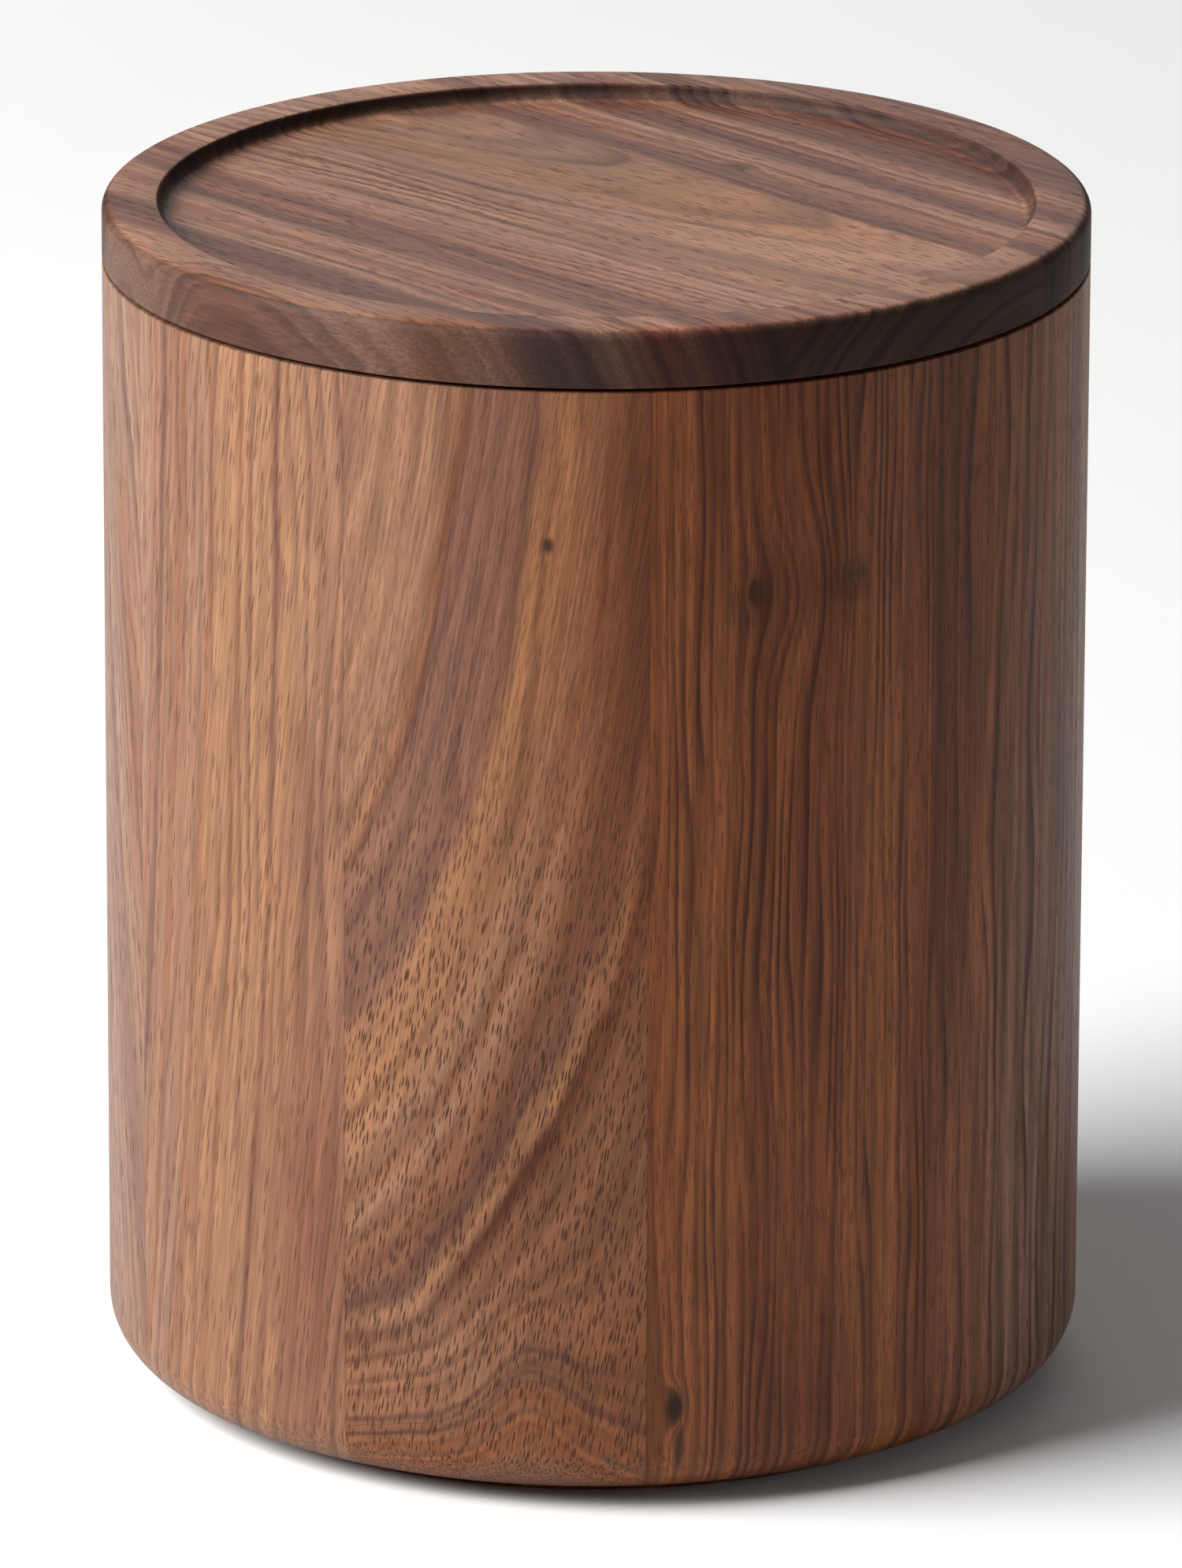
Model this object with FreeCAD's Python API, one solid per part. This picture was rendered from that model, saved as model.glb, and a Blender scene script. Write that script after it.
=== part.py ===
import FreeCAD, Part
import math
import os
from FreeCAD import Vector

# A round tea caddy turned from glued-up hardwood strips: a tube of mitred staves, a base panel
# let into it from below, and a lift-off lid with a plug and a lipped silicone seal.
# Millimetres and degrees. +Z is up and the origin is the centre of the foot, on the table.
# Angles round the caddy are measured from -Y (the front) towards +X.

# Body
body_radius = 55.0
wall = 9.5
mouth_height = 129.0
stave_count = 10
front_stave_angle = -11.8
edge_round = 6.2  # round-over along the lower edge of the staves
stave_land = 1.0  # least flat end kept between that round-over and the base
mouth_ease = 0.3  # softened outer arris of the mouth
mouth_lead_in = 0.8  # softened inner arris, which the seal slides past

# Base panel
base_thickness = 9.0
base_ledge = 1.6  # step in the staves that the base panel seats against
foot_height = 1.6  # how far the panel stands below the staves
foot_ease = 0.4
glue_line = 0.1
base_grain_angle = 20.0

# Lid
lid_thickness = 6.8
lid_rim = 6.3  # width of the raised rim round the recess
recess_depth = 1.9
recess_cove = 1.4
rim_inner_ease = 0.4
rim_outer_ease = 1.2
lid_lower_ease = 0.6
lid_grain_angle = -47.5

# Plug under the lid, with a groove for the seal
plug_length = 9.0
plug_clearance = 0.8
plug_ease = 1.0
groove_drop = 2.4  # lid underside to the groove
groove_height = 4.0
groove_depth = 2.2

# Silicone seal
seal_play = 0.3  # ring to the groove's floor
seal_headroom = 0.2  # ring to the groove's roof
seal_gap = 0.25  # lips to the bore
lip_count = 2
lip_tip = 0.4  # width of the flat that a lip seals on

# Width of the strips that the panels are glued up from
strip_width = 38.5

# Straight cuts in each kind of rounding
round_over_facets = 6
soft_facets = 3
ease_facets = 1

drawing_angle = 90.0  # outlines are drawn along +X, a quarter turn round from the front
same_point = 1e-6

bore_radius = body_radius - wall
rebate_radius = bore_radius + base_ledge
base_radius = rebate_radius - glue_line
plug_radius = bore_radius - plug_clearance
plug_bottom = mouth_height - plug_length
groove_top = mouth_height - groove_drop
groove_bottom = groove_top - groove_height
groove_radius = plug_radius - groove_depth
lid_top = mouth_height + lid_thickness


def outline(corners):
    """A face in the XZ plane from (radius, height) corners, in order.

    A corner with a rounding and a count of facets as well is rounded off in that many straight cuts.
    """
    places = [Vector(corner[0], 0, corner[1]) for corner in corners]
    points = []
    for i, here in enumerate(places):
        if len(corners[i]) == 2:
            points.append(here)
            continue
        rounding, facets = corners[i][2:]
        to_last = (places[i - 1] - here).normalize()
        to_next = (places[(i + 1) % len(places)] - here).normalize()
        half_angle = to_last.getAngle(to_next) / 2
        setback = rounding / math.tan(half_angle)
        inwards = (to_last + to_next).normalize()
        middle = here + inwards * (rounding / math.sin(half_angle) - rounding)
        arc = Part.Arc(here + to_last * setback, middle, here + to_next * setback)
        points += arc.discretize(facets + 1)
    points = [p for i, p in enumerate(points) if not p.isEqual(points[i - 1], same_point)]
    return Part.Face(Part.makePolygon(points + points[:1]))


def turned(corners, start_angle=0.0, sweep=360.0):
    """The outline swept about the caddy's axis."""
    face = outline(corners)
    face.rotate(Vector(0, 0, 0), Vector(0, 0, 1), start_angle - drawing_angle)
    return face.revolve(Vector(0, 0, 0), Vector(0, 0, 1), sweep)


def glued_up(disc, grain_angle):
    """The disc cut along the grain into a middle strip and the two beside it."""
    box = disc.BoundBox
    length = box.DiagonalLength
    boards = []
    for side in (-1, 0, 1):
        width = length if side else strip_width
        near_edge = side * (strip_width + width) / 2 - width / 2
        slab = Part.makeBox(length, width, box.ZLength, Vector(-length / 2, near_edge, box.ZMin))
        slab.rotate(Vector(0, 0, 0), Vector(0, 0, 1), grain_angle)
        boards.append(disc.common(slab))
    return boards


def staves():
    """The body: wedges of one turned tube, each meeting its neighbours on two mitred faces."""
    sweep = 360.0 / stave_count
    base_round = min(edge_round, body_radius - rebate_radius - stave_land)
    corners = [
        (rebate_radius, foot_height),
        (body_radius, foot_height, base_round, round_over_facets),
        (body_radius, mouth_height, mouth_ease, ease_facets),
        (bore_radius, mouth_height, mouth_lead_in, ease_facets),
        (bore_radius, base_thickness),
        (rebate_radius, base_thickness),
    ]
    for i in range(stave_count):
        start_angle = front_stave_angle + (i - 0.5) * sweep
        yield turned(corners, start_angle, sweep)


def base():
    """The base panel, a plain disc whose lower edge shows below the staves as the foot."""
    corners = [
        (0, 0),
        (base_radius, 0, foot_ease, ease_facets),
        (base_radius, base_thickness),
        (0, base_thickness),
    ]
    return turned(corners)


def lid():
    """The lid, dished on top to leave a raised rim with a coved foot."""
    rim_inside = body_radius - lid_rim
    recess_floor = lid_top - recess_depth
    cove = min(recess_cove, recess_depth - rim_inner_ease)
    corners = [
        (0, mouth_height),
        (body_radius, mouth_height, lid_lower_ease, ease_facets),
        (body_radius, lid_top, rim_outer_ease, soft_facets),
        (rim_inside, lid_top, rim_inner_ease, ease_facets),
        (rim_inside, recess_floor, cove, soft_facets),
        (0, recess_floor),
    ]
    return turned(corners)


def plug():
    """The disc glued under the lid, grooved for the seal."""
    corners = [
        (0, plug_bottom),
        (plug_radius, plug_bottom, plug_ease, ease_facets),
        (plug_radius, groove_bottom),
        (groove_radius, groove_bottom),
        (groove_radius, groove_top),
        (plug_radius, groove_top),
        (plug_radius, mouth_height),
        (0, mouth_height),
    ]
    return turned(corners)


def seal():
    """The silicone ring that fills the groove, with lips that reach out to the bore."""
    inside = groove_radius + seal_play
    tip_radius = bore_radius - seal_gap
    top = groove_top - seal_headroom
    pitch = (top - groove_bottom) / lip_count
    corners = [(inside, top), (inside, groove_bottom)]
    for i in range(lip_count):
        root = groove_bottom + i * pitch
        corners.append((plug_radius, root))
        corners.append((tip_radius, root + (pitch - lip_tip) / 2))
        corners.append((tip_radius, root + (pitch + lip_tip) / 2))
    corners.append((plug_radius, top))
    return turned(corners)


pieces = {}
for number, stave in enumerate(staves(), start=1):
    pieces[f"stave_{number:02d}"] = stave
for place, board in zip(("front", "middle", "back"), glued_up(base(), base_grain_angle)):
    pieces[f"base_board_{place}"] = board
for place, board in zip(("front", "middle", "back"), glued_up(lid(), lid_grain_angle)):
    pieces[f"lid_board_{place}"] = board
for place, board in zip(("left", "middle", "right"), glued_up(plug(), lid_grain_angle + 90)):
    pieces[f"plug_board_{place}"] = board
pieces["seal_ring"] = seal()

os.makedirs("parts", exist_ok=True)
for node, shape in pieces.items():
    shape.exportStep(f"parts/{node}.step")
    print(node, shape.isValid(), f"{shape.Volume:.0f} mm3")
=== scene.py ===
import math

import bmesh
import bpy
from mathutils import Matrix, Vector


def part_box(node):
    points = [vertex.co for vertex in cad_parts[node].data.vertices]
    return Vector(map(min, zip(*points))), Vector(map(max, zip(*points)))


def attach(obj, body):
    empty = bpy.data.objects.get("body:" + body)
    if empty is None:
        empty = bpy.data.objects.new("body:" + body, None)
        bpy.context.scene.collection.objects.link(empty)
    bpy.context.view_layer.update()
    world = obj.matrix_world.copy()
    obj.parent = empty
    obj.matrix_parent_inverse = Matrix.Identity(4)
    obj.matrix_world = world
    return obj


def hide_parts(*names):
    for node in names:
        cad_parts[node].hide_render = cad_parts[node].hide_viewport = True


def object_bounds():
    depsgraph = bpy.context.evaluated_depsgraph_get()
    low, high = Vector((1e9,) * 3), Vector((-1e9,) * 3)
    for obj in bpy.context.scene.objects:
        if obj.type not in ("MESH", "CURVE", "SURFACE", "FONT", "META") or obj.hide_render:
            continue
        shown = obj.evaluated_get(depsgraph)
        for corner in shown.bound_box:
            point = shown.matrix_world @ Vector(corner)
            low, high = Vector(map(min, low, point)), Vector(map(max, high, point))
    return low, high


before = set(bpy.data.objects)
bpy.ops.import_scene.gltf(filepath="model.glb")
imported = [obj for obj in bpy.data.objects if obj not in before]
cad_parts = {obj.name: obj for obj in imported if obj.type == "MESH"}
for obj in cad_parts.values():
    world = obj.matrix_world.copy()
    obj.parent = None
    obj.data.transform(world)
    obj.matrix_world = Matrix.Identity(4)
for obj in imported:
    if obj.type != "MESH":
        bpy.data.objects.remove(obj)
cad_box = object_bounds()

# Body staves
# Ten strips of walnut with mitred edges, glued into a tube and turned round on a lathe. The lower
# edge is rounded over, the mouth is lightly eased, and a ledge inside takes the base panel.
body_radius = cad_box[1][0]
wall = 0.0095
base_ledge = 0.0016
foot_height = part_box("stave_01")[0].z
mouth_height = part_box("stave_01")[1].z
base_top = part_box("base_board_middle")[1].z
edge_round = 0.0062
mouth_ease = 0.0003
mouth_lead_in = 0.0008
bore_radius = body_radius - wall
rebate_radius = bore_radius + base_ledge
stave_count = 10
stave_angle = math.tau / stave_count
front_stave_angle = math.radians(-11.8)
turn_step = math.radians(2)
crease_angle = math.radians(28)
hair = 1e-6  # places no further apart than this are the same


def is_near(a, b):
    """Whether two measures agree to within a hair."""
    return abs(a - b) < hair


def start_section(name, inner, outer, bottom, top):
    """A radial section of a turned piece, as a plane standing beside the axis, open in edit mode."""
    bpy.ops.object.select_all(action="DESELECT")
    centre = ((inner + outer) / 2, 0, (bottom + top) / 2)
    bpy.ops.mesh.primitive_plane_add(size=1, location=centre, rotation=(math.pi / 2, 0, 0))
    piece = bpy.context.active_object
    piece.name = name
    piece.data.name = name
    piece.scale = (outer - inner, top - bottom, 1)
    bpy.ops.object.transform_apply(location=True, rotation=True, scale=True)
    bpy.ops.object.mode_set(mode="EDIT")
    return piece


def pick(piece, wanted):
    """Select the corners of the open piece whose place is wanted, with the edges between them."""
    bpy.ops.mesh.select_mode(type="VERT")
    bpy.ops.mesh.select_all(action="DESELECT")
    mesh = bmesh.from_edit_mesh(piece.data)
    for corner in mesh.verts:
        corner.select_set(wanted(corner.co))
    mesh.select_flush(True)
    bmesh.update_edit_mesh(piece.data)


def split(place, normal):
    """Score the whole open section along a straight line."""
    bpy.ops.mesh.select_all(action="SELECT")
    bpy.ops.mesh.bisect(plane_co=place, plane_no=normal)


def pull(piece, wanted, move):
    """Extrude the edge between the wanted corners."""
    pick(piece, wanted)
    bpy.ops.mesh.extrude_region_move(TRANSFORM_OT_translate={"value": move})


def join_section():
    """Melt the section's inner lines away, which leaves one face with only its true corners."""
    bpy.ops.mesh.select_all(action="SELECT")
    bpy.ops.mesh.dissolve_limited(angle_limit=math.radians(1))


def soften(piece, radius, height, rounding, segments):
    """Round one corner of the section."""
    pick(piece, lambda place: is_near(place.x, radius) and is_near(place.z, height))
    bpy.ops.mesh.bevel(offset=rounding, segments=segments, affect="VERTICES")


def finish_piece(piece):
    """Close the piece, turn its faces outwards and shade its curves smooth."""
    bpy.ops.mesh.select_all(action="SELECT")
    bpy.ops.mesh.remove_doubles(threshold=hair)
    bpy.ops.mesh.delete_loose()
    bpy.ops.mesh.select_all(action="SELECT")
    bpy.ops.mesh.normals_make_consistent(inside=False)
    bpy.ops.object.mode_set(mode="OBJECT")
    bpy.ops.object.shade_smooth_by_angle(angle=crease_angle)


def turned_copy(piece, name, angle):
    """A copy with its own mesh, turned about the caddy's axis."""
    copy = piece.copy()
    copy.data = piece.data.copy()
    copy.name = name
    copy.data.name = name
    copy.data.transform(Matrix.Rotation(angle, 4, "Z"))
    bpy.context.scene.collection.objects.link(copy)
    return copy


stave_section = start_section("staves", bore_radius, body_radius, base_top, mouth_height)
split((rebate_radius, 0, 0), (1, 0, 0))
pull(
    stave_section,
    lambda place: is_near(place.z, base_top) and place.x > rebate_radius - hair,
    (0, 0, foot_height - base_top),
)
join_section()
soften(stave_section, body_radius, foot_height, edge_round, segments=14)
soften(stave_section, body_radius, mouth_height, mouth_ease, segments=3)
soften(stave_section, bore_radius, mouth_height, mouth_lead_in, segments=4)
bpy.ops.mesh.select_all(action="SELECT")
bpy.ops.mesh.spin(
    steps=round(stave_angle / turn_step), angle=stave_angle, center=(0, 0, 0), axis=(0, 0, 1)
)
finish_piece(stave_section)

to_mm = 1000  # the wood's figure is drawn in millimetres
noise_range = (0.3, 0.7)  # where most of a random pattern's values lie


def add_node(tree, kind, inputs=(), **settings):
    """A shader node with its settings made, and its inputs set or linked from (input, value) pairs."""
    node = tree.nodes.new(kind)
    for name, value in settings.items():
        setattr(node, name, value)
    for name, value in inputs:
        if isinstance(value, bpy.types.NodeSocket):
            tree.links.new(value, node.inputs[name])
        else:
            node.inputs[name].default_value = value
    return node


def sum_up(tree, operation, first, second=0.0, third=0.0):
    """One step of arithmetic on numbers."""
    values = ((0, first), (1, second), (2, third))
    return add_node(tree, "ShaderNodeMath", values, operation=operation).outputs[0]


def sum_vectors(tree, operation, first, second=(0, 0, 0), third=(0, 0, 0)):
    """One step of arithmetic on vectors."""
    values = ((0, first), (1, second), (2, third))
    return add_node(tree, "ShaderNodeVectorMath", values, operation=operation).outputs[0]


def length_of(tree, vector):
    """How long a vector is."""
    return add_node(tree, "ShaderNodeVectorMath", ((0, vector),), operation="LENGTH").outputs["Value"]


def take_apart(tree, vector):
    """A vector's three numbers, as outputs named X, Y and Z."""
    return add_node(tree, "ShaderNodeSeparateXYZ", (("Vector", vector),)).outputs


def put_together(tree, x, y, z):
    """A vector from three numbers."""
    inputs = (("X", x), ("Y", y), ("Z", z))
    return add_node(tree, "ShaderNodeCombineXYZ", inputs).outputs["Vector"]


def ease_between(tree, value, low, high, at_low=0.0, at_high=1.0):
    """A smooth step from one level to another as the value goes from low to high."""
    limits = (("Value", value), (1, low), (2, high), (3, at_low), (4, at_high))
    node = add_node(tree, "ShaderNodeMapRange", limits, interpolation_type="SMOOTHSTEP")
    return node.outputs["Result"]


def drawn_out(tree, place, scales, seed):
    """The place scaled along each axis, and moved to its own part of a pattern."""
    inputs = (("Vector", place), ("Scale", scales), ("Location", (seed, seed, seed)))
    return add_node(tree, "ShaderNodeMapping", inputs).outputs["Vector"]


def cloud(tree, place, scales, seed, detail=2.0, output="Fac"):
    """Soft random clouds, drawn out by the scales along each axis."""
    inputs = (("Vector", drawn_out(tree, place, scales, seed)), ("Scale", 1.0), ("Detail", detail))
    return add_node(tree, "ShaderNodeTexNoise", inputs).outputs[output]


def stir(tree, place, scales, seed, reach):
    """The place pushed about sideways by soft clouds, at most half the reach each way."""
    push = cloud(tree, place, scales, seed, detail=1.0, output="Color")
    push = sum_vectors(tree, "SUBTRACT", push, (0.5, 0.5, 0.5))
    return sum_vectors(tree, "MULTIPLY_ADD", push, (reach, reach, 0), place)


def bands(tree, distance, along, pitch, seed, detail=1.0):
    """Random bands that follow the growth rings, and come and go along the strip."""
    band_length = 50
    flat_place = put_together(tree, distance, along, 0.0)
    scales = (1 / pitch, 1 / band_length, 1)
    inputs = (("Vector", flat_place), ("Scale", scales), ("Location", (seed, seed, 0)))
    place = add_node(tree, "ShaderNodeMapping", inputs).outputs["Vector"]
    inputs = (("Vector", place), ("Scale", 1.0), ("Detail", detail))
    return add_node(tree, "ShaderNodeTexNoise", inputs, noise_dimensions="2D").outputs["Fac"]


def patch(tree, strip, x, z, width, height):
    """A soft round or oval spot on the strip, 1 at its middle."""
    aside = sum_up(tree, "MULTIPLY_ADD", strip["X"], 1 / width, -x / width)
    above = sum_up(tree, "MULTIPLY_ADD", strip["Z"], 1 / height, -z / height)
    spread = sum_up(tree, "MULTIPLY_ADD", above, above, sum_up(tree, "MULTIPLY", aside, aside))
    return sum_up(tree, "EXPONENT", sum_up(tree, "MULTIPLY", spread, -1.0))


def mix_colours(tree, share, first, second, kind="MIX"):
    """The second colour mixed into the first. The node's colours are its inputs 6 and 7 and output 2."""
    inputs = ((0, share), (6, first), (7, second))
    return add_node(tree, "ShaderNodeMix", inputs, data_type="RGBA", blend_type=kind).outputs[2]


def tint(red, green, blue):
    """A colour as it looks on a screen, 0 to 255, made into the linear colour that shaders take."""
    shares = (level / 255 for level in (red, green, blue))
    linear = (((share + 0.055) / 1.055) ** 2.4 for share in shares)
    return (*linear, 1.0)


tan = tint(137, 98, 74)
# The next two are tan and gold made greyer: painted sheen of the window light on the left staves
sheen_fawn = tint(135, 101, 80)
sheen_honey = tint(140, 100, 73)
gold = tint(142, 98, 68)
bright_gold = tint(146, 102, 71)
# A greyed brown for painted sheen on stave 9
sheen_ash_brown = tint(126, 102, 88)
# A greyed brown for painted reflection of the floor on the lower right of stave 3
reflection_dun = tint(122, 93, 79)
brown = tint(123, 80, 55)
russet = tint(128, 75, 43)
orange_brown = tint(133, 77, 45)
grey_brown = tint(115, 78, 63)
dusk_brown = tint(108, 65, 48)
red_brown = tint(111, 60, 33)
violet_brown = tint(94, 60, 48)
deep_brown = tint(80, 40, 22)
dark_line = tint(63, 29, 18)
pore_brown = tint(62, 32, 22)
knot_brown = tint(36, 21, 16)
end_tone = tint(140, 130, 126)
# A cool near-black for the lid's upright faces: partly darker wood on its edges, partly painted shade on
# the walls of the dish, and its grey cast is painted sheen
edge_dark_and_shade_tone = tint(20, 23, 26)


def walnut(
    name, grain_angle, seam, seed, lies_flat, figure,
    line_pitch, line_depth, pore_size, pore_share, pore_depth,
    pith=(-80, -55, 128.7), lean=(0.0, 0.0), wave=2.5, knots=(), stains_and_painted_light=(),
    streak_depth=0.2, line_colour=dark_line, pore_lean=0.0, pore_fade=None,
    end_depth=0.6, edge_dark_and_shade_depth=0.0, shine=0.18,
):
    """Oiled walnut. Inside it millimetres count x across, y into and z along the strip of wood.

    The pith is the middle of the tree: its x and y at one z, and how far it leans in x and y as z
    grows. The figure lists colours by their place x, as they would lie level with the pith. Knots are
    (x, z, width, height, push on the rings, darkness) and coloured patches (x, z, width, height,
    depth, colour), most of them stained wood and some of them painted shade and painted sheen.
    A pore fade is the z where pores are faintest and the z where they are full.
    """
    material = bpy.data.materials.new(name)
    material.use_nodes = True
    tree = material.node_tree
    shader = tree.nodes["Principled BSDF"]

    # Each random pattern has a seed of its own
    sway_seed, drift_seed, streak_seed = seed + 7, seed + 11, seed + 3
    slip_seed, strength_seed, fibre_seed = seed + 5, seed + 9, seed + 13

    # The place on the strip, with a stave's outside unrolled
    coordinates = add_node(tree, "ShaderNodeTexCoord").outputs
    along_grain = ("Rotation", (0, 0, -grain_angle))
    inputs = (("Vector", coordinates["Object"]), along_grain, ("Scale", (to_mm, to_mm, to_mm)))
    place = add_node(tree, "ShaderNodeMapping", inputs).outputs["Vector"]
    inputs = (("Vector", coordinates["Normal"]), along_grain)
    facing = take_apart(tree, add_node(tree, "ShaderNodeMapping", inputs).outputs["Vector"])
    end_facing = facing["X" if lies_flat else "Z"]
    across = take_apart(tree, place)
    if lies_flat:
        drop = sum_up(tree, "MULTIPLY", across["Z"], -1)
        place = put_together(tree, across["Y"], drop, across["X"])
        seam_place = across["Y"]
    else:
        outwards = sum_up(tree, "MULTIPLY", across["Y"], -1)
        angle = sum_up(tree, "ARCTAN2", across["X"], outwards)
        seam_place = sum_up(tree, "MULTIPLY", angle, body_radius * to_mm)
        radius = length_of(tree, put_together(tree, across["X"], across["Y"], 0.0))
        place = put_together(tree, seam_place, sum_up(tree, "MULTIPLY", radius, -1), across["Z"])
    strip = take_apart(tree, place)

    # Growth rings are distances from a leaning pith, stirred by the way the tree grew
    slow_sway = (0.03, 0.03, 0.011)
    quick_sway = (0.3, 0.3, 0.09)
    quick_reach = 0.3 * wave
    stirred = stir(tree, place, slow_sway, seed, wave)
    stirred = take_apart(tree, stir(tree, stirred, quick_sway, sway_seed, quick_reach))
    pith_x, pith_y, pith_z = pith
    lean_x, lean_y = lean
    from_pith_x = sum_up(tree, "MULTIPLY_ADD", stirred["Z"], -lean_x, lean_x * pith_z - pith_x)
    from_pith_x = sum_up(tree, "ADD", stirred["X"], from_pith_x)
    from_pith_y = sum_up(tree, "MULTIPLY_ADD", stirred["Z"], -lean_y, lean_y * pith_z - pith_y)
    from_pith_y = sum_up(tree, "ADD", stirred["Y"], from_pith_y)
    distance = length_of(tree, put_together(tree, from_pith_x, from_pith_y, 0.0))

    # Knots push the rings aside, and are dark in the middle
    knot_edge, knot_heart = 0.1, 0.95
    knot_shade = 0.0
    for knot_x, knot_z, width, height, push, dark in knots:
        swell = patch(tree, strip, knot_x, knot_z, width, height)
        distance = sum_up(tree, "MULTIPLY_ADD", swell, push, distance)
        if dark:
            shade = ease_between(tree, swell, knot_edge, knot_heart, 0.0, dark)
            knot_shade = sum_up(tree, "MAXIMUM", knot_shade, shade)

    # Broad bands of heartwood colour wander a little, with soft streaks and coloured patches in them:
    # most patches are stained wood, and some are painted shade and painted sheen
    drift_scales = (0.12, 0.12, 0.02)
    drift_reach = 3.0
    streak_pitch = 1.5
    drift = cloud(tree, place, drift_scales, drift_seed)
    wander = sum_up(tree, "MULTIPLY_ADD", drift, drift_reach, -drift_reach / 2)
    across_figure = sum_up(tree, "ADD", sum_up(tree, "ADD", distance, pith_x), wander)
    first = figure[0][0]
    span = figure[-1][0] - first
    share = sum_up(tree, "MULTIPLY_ADD", across_figure, 1 / span, -first / span)
    ramp = add_node(tree, "ShaderNodeValToRGB", ((0, share),))
    stops = ramp.color_ramp.elements
    stops[0].color = figure[0][1]
    stops[1].color = figure[-1][1]
    for where, colour in figure[1:-1]:
        stops.new((where - first) / span).color = colour
    colour = ramp.outputs["Color"]
    for patch_x, patch_z, width, height, depth, patch_colour in stains_and_painted_light:
        spot = sum_up(tree, "MULTIPLY", patch(tree, strip, patch_x, patch_z, width, height), depth)
        colour = mix_colours(tree, spot, colour, patch_colour)
    streak_limits = (1 - streak_depth, 1 + streak_depth)
    streak = bands(tree, distance, strip["Z"], streak_pitch, streak_seed, detail=3.0)
    streak = ease_between(tree, streak, *noise_range, *streak_limits)
    colour = mix_colours(tree, 1.0, colour, streak, "MULTIPLY")

    # Each year ends in a dark line, and some are wider or bolder than others
    slip_pitch = 4 * line_pitch
    slip_years = 3.0
    line_start, line_full, line_fade, line_end = 0.2, 0.85, 0.84, 1.0
    strength_pitch = 3.3
    strength_limits = (0.2 * line_depth, 1.6 * line_depth)
    slip = bands(tree, distance, strip["Z"], slip_pitch, slip_seed)
    slip = sum_up(tree, "MULTIPLY", slip, slip_years)
    season = sum_up(tree, "FRACT", sum_up(tree, "MULTIPLY_ADD", distance, 1 / line_pitch, slip))
    late = ease_between(tree, season, line_start, line_full)
    late = sum_up(tree, "MULTIPLY", late, ease_between(tree, season, line_end, line_fade))
    strength = bands(tree, distance, strip["Z"], strength_pitch, strength_seed)
    strength = ease_between(tree, strength, *noise_range, *strength_limits)
    colour = mix_colours(tree, sum_up(tree, "MULTIPLY", late, strength), colour, line_colour)

    # Fibres and pores run along the strip, a little askew, and pores are faint on a darkened edge
    fibre_scales = (3.4, 3.4, 0.12)
    fibre_range = (0.25, 0.75)
    fibre_limits = (0.72, 1.24)
    pore_width, pore_length = pore_size
    pore_scales = (1 / pore_width, 1 / pore_width, 1 / pore_length)
    pore_spread = 0.2
    pore_limits = (pore_share - pore_spread, pore_share + pore_spread)
    pore_rim, pore_core = 0.46, 0.22
    faintest_pores = 0.3
    edge_start, edge_full = 0.99, 0.75
    askew = sum_up(tree, "MULTIPLY_ADD", strip["Z"], -pore_lean, strip["X"])
    along = put_together(tree, askew, strip["Y"], strip["Z"])
    fibre = cloud(tree, along, fibre_scales, fibre_seed, detail=3.0)
    fibre_shade = ease_between(tree, fibre, *fibre_range, *fibre_limits)
    colour = mix_colours(tree, 1.0, colour, fibre_shade, "MULTIPLY")
    cells = drawn_out(tree, along, pore_scales, seed)
    pores = add_node(tree, "ShaderNodeTexVoronoi", (("Vector", cells), ("Scale", 1.0))).outputs
    chance = take_apart(tree, pores["Color"])["X"]
    early = ease_between(tree, streak, *streak_limits, *pore_limits)
    present = ease_between(tree, sum_up(tree, "SUBTRACT", early, chance), 0.0, pore_spread)
    pore = ease_between(tree, pores["Distance"], pore_rim, pore_core)
    pore = sum_up(tree, "MULTIPLY", pore, present)
    if pore_fade:
        fade = ease_between(tree, strip["Z"], *pore_fade, faintest_pores)
        pore = sum_up(tree, "MULTIPLY", pore, fade)
    flatness = sum_up(tree, "ABSOLUTE", facing["Z"])
    edge_dark_and_shade_share = ease_between(tree, flatness, edge_start, edge_full, 0.0, edge_dark_and_shade_depth)
    pore = sum_up(tree, "MULTIPLY", pore, sum_up(tree, "SUBTRACT", 1.0, edge_dark_and_shade_share))
    colour = mix_colours(tree, sum_up(tree, "MULTIPLY", pore, pore_depth), colour, pore_brown)
    colour = mix_colours(tree, knot_shade, colour, knot_brown)

    # A glue line shows along each seam, and end grain drinks more oil and goes dark
    glue_reach, glue_core, glue_depth = 0.16, 0.04, 0.25
    end_start, end_full = 0.45, 1.0
    from_seam = sum_up(tree, "SUBTRACT", sum_up(tree, "ABSOLUTE", seam_place), seam)
    from_seam = sum_up(tree, "ABSOLUTE", from_seam)
    glue = ease_between(tree, from_seam, glue_reach, glue_core, 0.0, glue_depth)
    colour = mix_colours(tree, glue, colour, dark_line)
    # Upright faces go darker and greyer: partly darker wood on the edges, partly painted shade on the
    # walls of the dish, with painted sheen in the grey
    colour = mix_colours(tree, edge_dark_and_shade_share, colour, edge_dark_and_shade_tone)
    end_share = sum_up(tree, "ABSOLUTE", end_facing)
    end_share = ease_between(tree, end_share, end_start, end_full, 0.0, end_depth)
    colour = mix_colours(tree, end_share, colour, end_tone, "MULTIPLY")
    tree.links.new(colour, shader.inputs["Base Color"])

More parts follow.
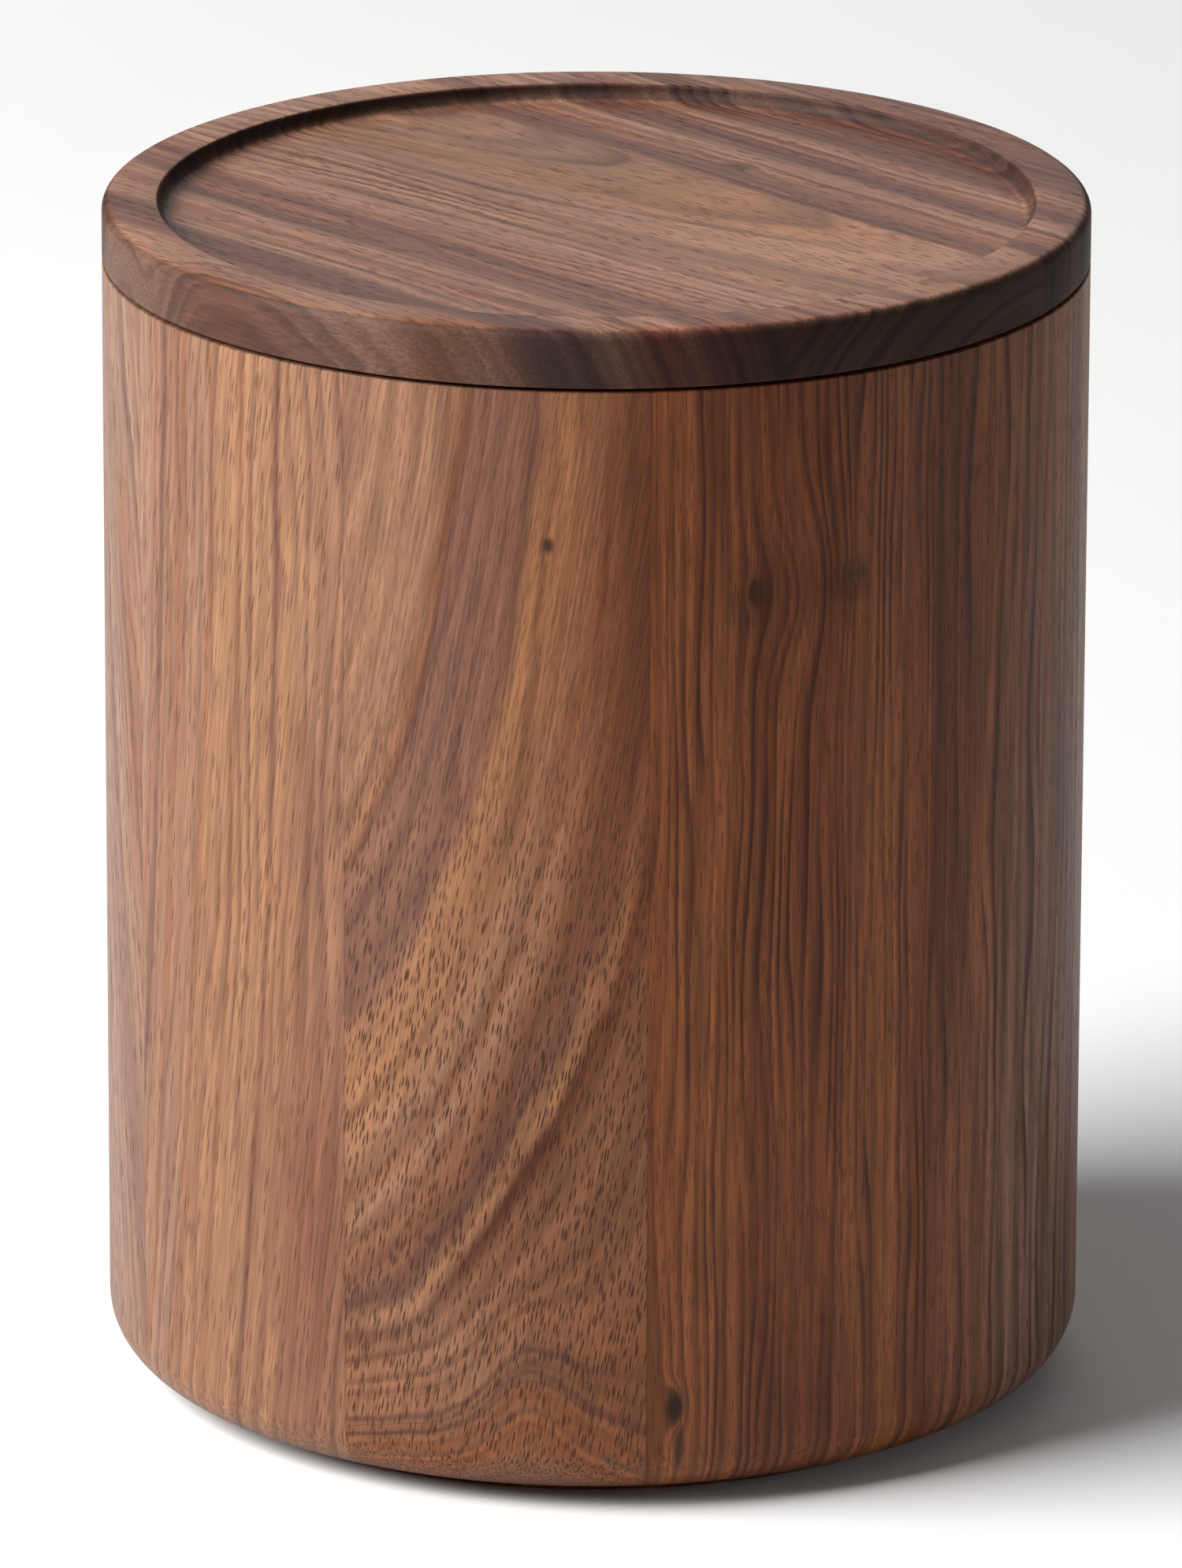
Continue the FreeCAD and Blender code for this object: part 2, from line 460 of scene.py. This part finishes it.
    # The oil's soft shine is broken by fibres, pores and thirsty edges
    smoothest = 0.36
    fibre_roughness, pore_roughness, edge_roughness = 0.18, 0.2, 0.25
    fibre_height = 0.35
    shader.inputs["Specular IOR Level"].default_value = shine
    matt = sum_up(tree, "MAXIMUM", end_share, edge_dark_and_shade_share)
    gloss = sum_up(tree, "MULTIPLY_ADD", fibre, fibre_roughness, smoothest)
    gloss = sum_up(tree, "MULTIPLY_ADD", pore, pore_roughness, gloss)
    gloss = sum_up(tree, "MULTIPLY_ADD", matt, edge_roughness, gloss)
    tree.links.new(gloss, shader.inputs["Roughness"])
    relief = sum_up(tree, "MULTIPLY_ADD", fibre, fibre_height, sum_up(tree, "MULTIPLY", pore, -1.0))
    bump = (("Height", relief), ("Strength", 0.35), ("Distance", 0.00012))
    tree.links.new(add_node(tree, "ShaderNodeBump", bump).outputs["Normal"], shader.inputs["Normal"])
    return material


sawn_flat = {
    "pith": (-56.4, -75.6, 128.7), "lean": (-0.124, 0.5), "pore_lean": 0.17, "pore_size": (0.28, 2.2),
    "pore_share": 1.0, "pore_depth": 0.9, "line_pitch": 2.4, "line_depth": 0.2, "streak_depth": 0.15,
    "figure": (
        (-13, grey_brown), (-8, tan), (-1, tan), (1.1, brown), (1.6, violet_brown), (2.2, grey_brown),
        (8.5, grey_brown), (9.6, gold), (13, gold), (16, tan), (17, brown), (18, tan),
        (20.5, brown), (23.2, violet_brown), (24.2, bright_gold), (24.8, gold), (25.7, deep_brown),
        (27.5, brown), (30, brown), (35, brown), (38, brown), (39, violet_brown), (39.6, brown),
        (41.2, brown), (41.8, violet_brown), (42.6, brown), (45, russet), (47, brown), (49, russet),
        (54, brown),
    ),
}
sawn_straight = {
    "pith": (-60, -55, 128.7), "lean": (0.0, 0.25), "pore_size": (0.3, 3.2), "pore_share": 0.45,
    "pore_depth": 0.7, "line_pitch": 1.9, "line_depth": 0.4, "line_colour": violet_brown,
    "streak_depth": 0.12, "wave": 1.2,
    "figure": (
        (-18, tan), (-13, tan), (-12, brown), (-11, tan), (-9.4, brown), (-7, tan), (-3, brown),
        (2, gold), (7, gold), (10.5, brown), (12, tan), (14, brown), (15, violet_brown), (16, brown),
        (20, tan), (26, brown),
    ),
}
sawn_dark = {
    "pore_size": (0.28, 2.6), "pore_share": 0.5, "pore_depth": 0.45, "line_pitch": 1.25,
    "line_depth": 0.6, "streak_depth": 0.25, "wave": 0.8,
    "figure": (
        (-18, red_brown), (-14, russet), (-8, russet), (-4, red_brown), (-2.6, russet), (-1.4, red_brown),
        (3, red_brown), (8, russet), (13, russet), (16, red_brown), (20, russet), (25, red_brown),
    ),
}
stave_woods = {
    1: {
        **sawn_flat,
        "knots": (
            (6.2, 111.8, 0.8, 1.1, 1.5, 0.85), (-11.1, -1.5, 28.0, 13.1, 20.6, 0.0),
            (3.9, 11.7, 5.3, 13.4, 6.7, 0.0), (21.6, 6.3, 7.9, 15.7, -6.7, 0.0),
        ),
        "stains_and_painted_light": (
            (16, 102, 12, 40, 0.7, orange_brown), (18, 112, 6, 42, 0.85, deep_brown),
            (2, 40, 5, 5, 0.15, deep_brown), (-7, 31, 6, 5, 0.25, deep_brown),
            (-15, 20, 5, 3, 0.5, violet_brown), (-6, 19, 9, 9, 0.4, sheen_fawn), (15, 16, 5, 10, 0.6, russet),
            (-13, 76, 6, 13, 0.4, tan),
        ),
        "pore_fade": (105, 55),
    },
    2: {
        **sawn_dark,
        "knots": (
            (-0.5, 105.5, 5.0, 9.0, -3.2, 0.0), (-5.8, 105.8, 1.1, 1.7, 1.0, 0.55),
            (-6.2, 104.0, 2.2, 4.0, 0.0, 0.35), (6.4, 106.4, 1.8, 1.0, 1.0, 0.55),
            (5.8, 105.6, 3.4, 2.8, 0.0, 0.35), (-14.1, 12.5, 1.2, 2.2, -3.0, 0.95),
            (-13.6, 8.0, 0.8, 3.5, 0.0, 0.6),
        ),
        # The deep brown patches at the top darken the stave towards the lid, and the one at height 12 is
        # painted shade on the rounded foot, which faces the floor
        "stains_and_painted_light": (
            (-9, 128, 7, 45, 0.5, deep_brown), (10, 128, 12, 25, 0.35, deep_brown),
            (1, 107, 9, 4, 0.4, deep_brown), (2, 12, 14, 12, 0.35, deep_brown),
            (1.5, 55, 4.5, 35, 0.4, orange_brown),
        ),
    },
    3: {
        **sawn_dark, "line_pitch": 2.3, "streak_depth": 0.32,
        # The grey browns on the right of this figure are painted reflection of the floor
        "figure": (
            (-18, red_brown), (-14, red_brown), (-8, russet), (-4, brown), (0, grey_brown),
            (6, grey_brown), (10, brown), (16, grey_brown), (25, brown),
        ),
        # The deep brown patches darken the top of the stave; the greyed patch low on the right is painted
        # reflection of the floor
        "stains_and_painted_light": (
            (-18, 120, 9, 60, 0.7, deep_brown), (-4, 128, 12, 50, 0.4, deep_brown),
            (4, 20, 16, 45, 0.7, reflection_dun), (3, 105, 6, 35, 0.45, russet),
        ),
    },
    4: sawn_straight,
    5: {**sawn_flat, "lean": (0.2, 0.3)},
    6: sawn_dark,
    7: sawn_straight,
    8: {**sawn_flat, "lean": (0.12, -0.3)},
    9: {
        **sawn_straight, "lean": (-0.2, 0.0), "pore_lean": -0.15, "line_depth": 0.5,
        # The greyed tan in this stave's figure is painted sheen of the window light
        "figure": (
            (-30, grey_brown), (-10, sheen_fawn), (-6, grey_brown), (0, sheen_fawn), (5, brown), (12, sheen_fawn),
            (20, brown),
        ),
        # The tall greyed streak and the patch near the top are painted sheen of the window light
        "stains_and_painted_light": ((4, 64, 6, 90, 0.5, sheen_ash_brown), (10, 120, 12, 12, 0.4, sheen_ash_brown)),
    },
    10: {
        **sawn_straight, "pore_lean": 0.14, "pore_depth": 0.55,
        # The greyed tan and gold of this stave are painted sheen of the window light
        "figure": (
            (-18, sheen_fawn), (-14, sheen_fawn), (-13.2, brown), (-12.5, sheen_fawn), (-11.3, violet_brown), (-10.6, sheen_fawn),
            (-10, brown), (-9.3, sheen_fawn), (-7.1, brown), (-6.4, sheen_fawn), (-3, sheen_fawn), (-2.4, brown),
            (-1.8, sheen_honey), (2.4, sheen_honey), (3, brown), (3.6, sheen_honey), (8, sheen_honey), (8.8, violet_brown),
            (9.4, sheen_honey), (12, sheen_honey), (15, tan), (26, tan),
        ),
        "stains_and_painted_light": (
            (13, 30, 7, 28, 0.8, dusk_brown), (12, 78, 2.5, 10, 0.5, violet_brown),
            (6, 70, 6, 18, 0.5, bright_gold), (-7, 60, 5, 75, 0.45, brown),
        ),
    },
}
stave_half_width = body_radius * stave_angle / 2 * to_mm
seed_step = 3.0
for number, wood in stave_woods.items():
    facing = front_stave_angle + (number - 1) * stave_angle
    spin_to_place = facing + stave_angle / 2 - math.pi / 2
    stave = turned_copy(stave_section, f"stave_{number:02d}_turned", spin_to_place)
    wood_name = f"stave_{number:02d}_walnut"
    stave.data.materials.append(
        walnut(wood_name, facing, stave_half_width, seed_step * number, lies_flat=False, **wood)
    )
    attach(stave, "caddy")
    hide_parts(f"stave_{number:02d}")
bpy.data.objects.remove(stave_section)

# Base panel
# Three walnut boards glued edge to edge and turned to a disc. It is glued up against the ledge in
# the staves and stands a little below them, so that its edge is the caddy's foot.
glue_line = 0.0001
base_radius = rebate_radius - glue_line
foot_ease = 0.0004
strip_width = 0.0385
base_grain_angle = math.radians(20)


def turn_whole(piece):
    """Spin the section's outline once round the axis, without any edge that lies on the axis."""
    bpy.ops.mesh.select_all(action="SELECT")
    bpy.ops.mesh.delete(type="ONLY_FACE")
    pick(piece, lambda place: is_near(place.x, 0))
    bpy.ops.mesh.select_mode(type="EDGE")
    bpy.ops.mesh.delete(type="EDGE")
    bpy.ops.mesh.select_mode(type="VERT")
    bpy.ops.mesh.select_all(action="SELECT")
    bpy.ops.mesh.spin(
        steps=round(math.tau / turn_step), angle=math.tau, center=(0, 0, 0), axis=(0, 0, 1)
    )
    finish_piece(piece)


def sawn_board(disc, name, grain_angle, side):
    """One of a panel's three boards: the disc cut along the grain, with the sides numbered -1, 0, 1."""
    board = turned_copy(disc, name, 0)
    bpy.ops.object.select_all(action="DESELECT")
    board.select_set(True)
    bpy.context.view_layer.objects.active = board
    bpy.ops.object.mode_set(mode="EDIT")
    across = Vector((-math.sin(grain_angle), math.cos(grain_angle), 0))
    for seam in (-1, 1):
        if side in (0, seam):
            beyond_seam = side > seam / 2
            bpy.ops.mesh.select_all(action="SELECT")
            bpy.ops.mesh.bisect(
                plane_co=across * (seam * strip_width / 2), plane_no=across, use_fill=True,
                clear_inner=beyond_seam, clear_outer=not beyond_seam,
            )
    finish_piece(board)
    return board


base_disc = start_section("base_panel", 0, base_radius, 0, base_top)
soften(base_disc, base_radius, 0, foot_ease, segments=3)
turn_whole(base_disc)
board_seam = strip_width / 2 * to_mm
base_wood = {**sawn_dark, "pith": (-80, 20, 0)}
base_seed = 40.0
for side, board_name in ((-1, "front"), (0, "middle"), (1, "back")):
    board = sawn_board(base_disc, f"base_board_{board_name}_turned", base_grain_angle, side)
    board_seed = base_seed + seed_step * side
    wood_name = f"base_{board_name}_walnut"
    board.data.materials.append(
        walnut(wood_name, base_grain_angle, board_seam, board_seed, lies_flat=True, **base_wood)
    )
    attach(board, "caddy")
    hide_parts(f"base_board_{board_name}")
bpy.data.objects.remove(base_disc)

# Lid
# Three walnut boards glued edge to edge, turned to the body's width and dished on top. The rim
# that is left has softened edges and meets the floor of the dish in a small cove.
lid_top = cad_box[1][2]
lid_rim = 0.0063
recess_depth = 0.0019
recess_cove = 0.0014
rim_inner_ease = 0.0004
rim_outer_ease = 0.0012
seat_gap = 0.00002  # play that lets the lid turn on the mouth and round the seal
relief_depth = 0.0012  # a relief round the lid's lower edge shows as a dark line
relief_height = 0.0004
lid_grain_angle = math.radians(-47.5)
recess_floor = lid_top - recess_depth
rim_inside = body_radius - lid_rim
lid_bottom = mouth_height + seat_gap
relief_inside = body_radius - relief_depth
relief_top = mouth_height + relief_height

lid_disc = start_section("lid", 0, body_radius, relief_top, recess_floor)
split((relief_inside, 0, 0), (1, 0, 0))
split((rim_inside, 0, 0), (1, 0, 0))
pull(
    lid_disc,
    lambda place: is_near(place.z, relief_top) and place.x < relief_inside + hair,
    (0, 0, lid_bottom - relief_top),
)
pull(
    lid_disc,
    lambda place: is_near(place.z, recess_floor) and place.x > rim_inside - hair,
    (0, 0, recess_depth),
)
join_section()
soften(lid_disc, body_radius, relief_top, relief_height / 2, segments=3)
soften(lid_disc, body_radius, lid_top, rim_outer_ease, segments=6)
soften(lid_disc, rim_inside, lid_top, rim_inner_ease, segments=4)
soften(lid_disc, rim_inside, recess_floor, recess_cove, segments=6)
turn_whole(lid_disc)
rose_tan = tint(147, 106, 85)
pale_rose = tint(164, 126, 108)
rose_brown = tint(131, 86, 67)
mahogany = tint(156, 72, 52)
plum = tint(101, 66, 56)
# The lid's upright faces get darker wood on the edges, painted shade in the dish and painted sheen
lid_wood = {
    "pore_size": (0.28, 2.6), "pore_share": 0.45, "pore_depth": 0.6, "line_pitch": 1.6,
    "line_depth": 0.45, "end_depth": 1.0, "edge_dark_and_shade_depth": 0.6, "wave": 2.0, "shine": 0.15,
}
lid_woods = {
    "front": {
        **lid_wood, "pith": (-180, -82, 0), "knots": ((-53, -14, 4, 7, 4, 0),), "line_depth": 0.3,
        "figure": (
            (-46, rose_brown), (-42, rose_tan), (-37, rose_tan), (-35, rose_brown), (-33, plum),
            (-29.5, plum), (-27, rose_tan), (-23.5, rose_brown), (-20, rose_tan), (-17.5, plum),
            (-15, rose_brown), (-13, plum), (-11, rose_brown), (-8, rose_brown),
        ),
        "stains_and_painted_light": (
            (-55, -2, 4, 11, 0.6, red_brown), (-48, 27, 3, 5, 0.75, russet),
            (-32.3, 47, 3, 3, 0.9, mahogany), (-27.2, 50.1, 3, 3, 0.9, mahogany),
        ),
    },
    "middle": {
        **lid_wood, "pith": (16, -113, 0), "lean": (0.0, 0.11),
        "figure": (
            (30, rose_tan), (35, tan), (38, gold), (42, rose_tan), (46, tan), (52, rose_tan),
            (60, rose_brown),
        ),
        # The pale patch at the far left of the rim is painted sheen
        "stains_and_painted_light": ((4, -51, 18, 5, 0.5, pale_rose),),
    },
    "back": {
        **lid_wood, "pith": (-180, -134, 0), "knots": ((25.5, -3.5, 1.4, 2.5, -1.5, 0.5),),
        "figure": (
            (18, rose_brown), (22, plum), (25, rose_brown), (28.5, rose_tan), (31, plum),
            (33.5, plum), (35, rose_brown), (37, rose_tan), (40, plum), (46, plum), (56, rose_brown),
        ),
        "stains_and_painted_light": ((46, -25, 6, 14, 0.65, rose_tan), (29, -44, 8, 6, 0.5, pale_rose)),
    },
}
lid_seed = 54.0
for side, board_name in ((-1, "front"), (0, "middle"), (1, "back")):
    board = sawn_board(lid_disc, f"lid_board_{board_name}_turned", lid_grain_angle, side)
    board_seed = lid_seed + seed_step * side
    wood_name = f"lid_{board_name}_walnut"
    wood = lid_woods[board_name]
    board.data.materials.append(
        walnut(wood_name, lid_grain_angle, board_seam, board_seed, lies_flat=True, **wood)
    )
    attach(board, "lid")
    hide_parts(f"lid_board_{board_name}")
bpy.data.objects.remove(lid_disc)

# Plug
# Three more walnut boards glued edge to edge under the lid, across its grain, and turned to slip
# into the mouth. A groove round it holds the seal.
plug_clearance = 0.0008
groove_drop = 0.0024
groove_depth = 0.0022
plug_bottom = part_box("plug_board_middle")[0].z
plug_radius = bore_radius - plug_clearance
plug_ease = 0.001
groove_top = mouth_height - groove_drop
groove_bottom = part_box("seal_ring")[0].z
groove_radius = plug_radius - groove_depth
plug_grain_angle = lid_grain_angle + math.pi / 2

plug_disc = start_section("plug", 0, groove_radius, plug_bottom, lid_bottom)
split((0, 0, groove_bottom), (0, 0, 1))
split((0, 0, groove_top), (0, 0, 1))
out_to_radius = (plug_radius - groove_radius, 0, 0)
pull(
    plug_disc,
    lambda place: is_near(place.x, groove_radius) and place.z < groove_bottom + hair,
    out_to_radius,
)
pull(
    plug_disc,
    lambda place: is_near(place.x, groove_radius) and place.z > groove_top - hair,
    out_to_radius,
)
join_section()
soften(plug_disc, plug_radius, plug_bottom, plug_ease, segments=4)
turn_whole(plug_disc)
plug_wood = {**sawn_straight, "pith": (-80, -100, 0)}
plug_seed = 70.0
for side, board_name in ((-1, "left"), (0, "middle"), (1, "right")):
    board = sawn_board(plug_disc, f"plug_board_{board_name}_turned", plug_grain_angle, side)
    board_seed = plug_seed + seed_step * side
    wood_name = f"plug_{board_name}_walnut"
    board.data.materials.append(
        walnut(wood_name, plug_grain_angle, board_seam, board_seed, lies_flat=True, **plug_wood)
    )
    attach(board, "lid")
    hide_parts(f"plug_board_{board_name}")
bpy.data.objects.remove(plug_disc)

# Seal
# A ring of milky silicone, moulded with two lips, stretched over the plug and let into its groove.
# Each lip narrows to a flat that faces the inside of the body.
seal_play = 0.0003
seal_inside = groove_radius + seal_play
seal_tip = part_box("seal_ring")[1].x
seal_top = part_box("seal_ring")[1].z
lip_count = 2
lip_tip = 0.0004
lip_ease = lip_tip / 3
lip_pitch = (seal_top - groove_bottom) / lip_count

seal = start_section("seal_ring_moulded", seal_inside, plug_radius, groove_bottom + seat_gap, seal_top)
tips = []
for lip in range(lip_count):
    lip_middle = groove_bottom + (lip + 0.5) * lip_pitch
    for tip in (lip_middle - lip_tip / 2, lip_middle + lip_tip / 2):
        tips.append(tip)
        split((0, 0, tip), (0, 0, 1))
    if lip:
        split((0, 0, groove_bottom + lip * lip_pitch), (0, 0, 1))
pick(seal, lambda place: is_near(place.x, plug_radius) and any(is_near(place.z, tip) for tip in tips))
bpy.ops.transform.translate(value=(seal_tip - plug_radius, 0, 0))
join_section()
for tip in tips:
    soften(seal, seal_tip, tip, lip_ease, segments=2)
turn_whole(seal)
silicone = bpy.data.materials.new("silicone")
silicone.use_nodes = True
tree = silicone.node_tree
shader = tree.nodes["Principled BSDF"]
shader.inputs["Subsurface Weight"].default_value = 0.4
shader.inputs["Subsurface Radius"].default_value = (1.0, 0.9, 0.8)
shader.inputs["Subsurface Scale"].default_value = 0.0015
milk = tint(222, 219, 211)
pale_milk = tint(236, 234, 228)
place = add_node(tree, "ShaderNodeTexCoord").outputs["Object"]
haze = cloud(tree, place, scales=(90, 90, 90), seed=2.0, detail=3.0)
bloom = cloud(tree, place, scales=(2500, 2500, 2500), seed=4.0)
milky = mix_colours(tree, ease_between(tree, haze, *noise_range), milk, pale_milk)
tree.links.new(milky, shader.inputs["Base Color"])
gloss = ease_between(tree, bloom, *noise_range, at_low=0.36, at_high=0.5)
tree.links.new(gloss, shader.inputs["Roughness"])
bump = (("Height", bloom), ("Strength", 0.2), ("Distance", 0.00005))
tree.links.new(add_node(tree, "ShaderNodeBump", bump).outputs["Normal"], shader.inputs["Normal"])
seal.data.materials.append(silicone)
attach(seal, "seal")
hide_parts("seal_ring")

# Studio
# A pale floor in a dim room, under a large soft light at the left and weaker ones behind and at the
# right, with the camera at the photograph's angle.
bpy.ops.object.select_all(action="DESELECT")
bpy.ops.mesh.primitive_plane_add(size=8)
floor = bpy.context.active_object
floor.name = "floor"
paper = bpy.data.materials.new("paper")
paper.use_nodes = True
tree = paper.node_tree
shader = tree.nodes["Principled BSDF"]
shader.inputs["Specular IOR Level"].default_value = 0.2
place = add_node(tree, "ShaderNodeTexCoord").outputs["Object"]
mottle = cloud(tree, place, scales=(9, 9, 9), seed=1.0, detail=3.0)
pale = mix_colours(tree, mottle, tint(242, 242, 241), tint(245, 245, 244))
tree.links.new(pale, shader.inputs["Base Color"])
gloss = ease_between(tree, mottle, low=0.2, high=0.8, at_low=0.7, at_high=0.8)
tree.links.new(gloss, shader.inputs["Roughness"])
floor.data.materials.append(paper)


def softbox(name, place, size, power):
    """A square lamp of soft light, aimed at the middle of the caddy."""
    lamp = bpy.data.lights.new(name, "AREA")
    lamp.size = size
    lamp.energy = power
    holder = bpy.data.objects.new(name, lamp)
    aim = Vector((0, 0, lid_top / 2)) - Vector(place)
    holder.matrix_world = Matrix.Translation(place) @ aim.to_track_quat("-Z", "Y").to_matrix().to_4x4()
    bpy.context.scene.collection.objects.link(holder)


softbox("window_light", place=(-1.5, -0.47, 1.2), size=1.2, power=77)
softbox("back_light", place=(0.1, 1.7, 0.9), size=1.2, power=4)
softbox("fill_light", place=(1.4, -0.3, 0.2), size=0.8, power=3.7)

# The camera's place is in metres from a point on the caddy's axis, and its angles are in radians
camera_distance = 1.5294
camera_target_height = 0.0731
camera_elevation = 0.30783
camera_pitch = 0.31153
camera_pan = 0.000266
camera_roll = 0.00343
camera_data = bpy.data.cameras.new("camera")
camera_data.lens = 311.96
camera_data.sensor_width = 36
camera_data.clip_end = 20
camera = bpy.data.objects.new("camera", camera_data)
bpy.context.scene.collection.objects.link(camera)
stand = Matrix.Translation((
    0,
    -camera_distance * math.cos(camera_elevation),
    camera_target_height + camera_distance * math.sin(camera_elevation),
))
aim = Matrix.Rotation(camera_pan, 4, "Z") @ Matrix.Rotation(math.pi / 2 - camera_pitch, 4, "X")
camera.matrix_world = stand @ aim @ Matrix.Rotation(camera_roll, 4, "Z")
bpy.context.scene.camera = camera

room = bpy.data.worlds.new("room")
room.use_nodes = True
room.node_tree.nodes["Background"].inputs["Color"].default_value = (1, 1, 1, 1)
room.node_tree.nodes["Background"].inputs["Strength"].default_value = 0.1
bpy.context.scene.world = room
bpy.context.scene.view_settings.view_transform = "Standard"
